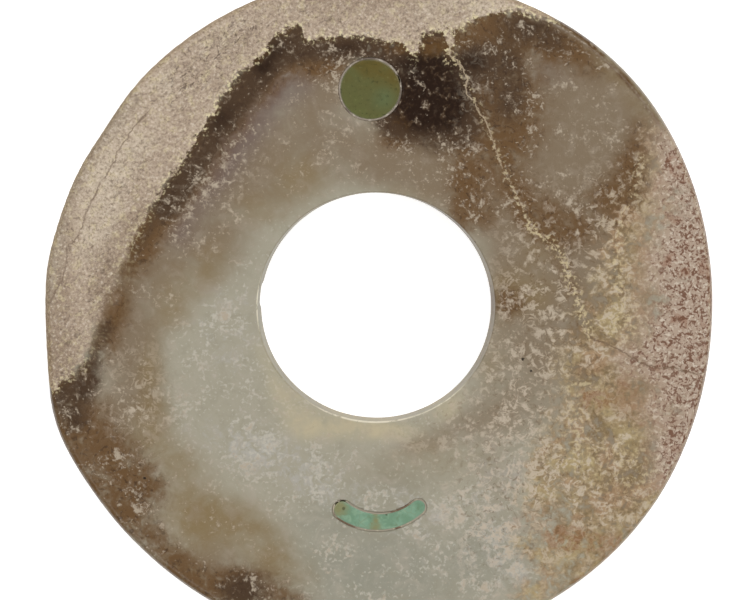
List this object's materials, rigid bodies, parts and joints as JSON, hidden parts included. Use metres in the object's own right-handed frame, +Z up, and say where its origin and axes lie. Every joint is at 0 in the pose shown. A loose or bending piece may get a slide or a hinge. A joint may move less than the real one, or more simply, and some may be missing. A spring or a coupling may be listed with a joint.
{
  "type": "jade bi disc",
  "caption": "Flat round stone disc with a large drilled hole at its middle and two small inlays, a round plug and a crescent, set flush in its upper face.",
  "frame": {"origin": "on the underside, in the middle of the disc's outline", "axes": "+Z up out of the inlaid face along the disc's axis, +Y from the hole towards the round plug, +X to the right of the inlaid face"},
  "size_m": [0.1676, 0.1688, 0.009],
  "materials": {
    "weathered_jade": "hand-polished nephrite, waxy where fresh and chalky where weathered",
    "green_jade": "polished olive green jade",
    "turquoise": "smoothed green turquoise with olive veins"
  },
  "bodies": {
    "root": {"disc": "weathered_jade", "round_plug": "green_jade", "crescent_inlay": "turquoise"}
  },
  "joints": []
}
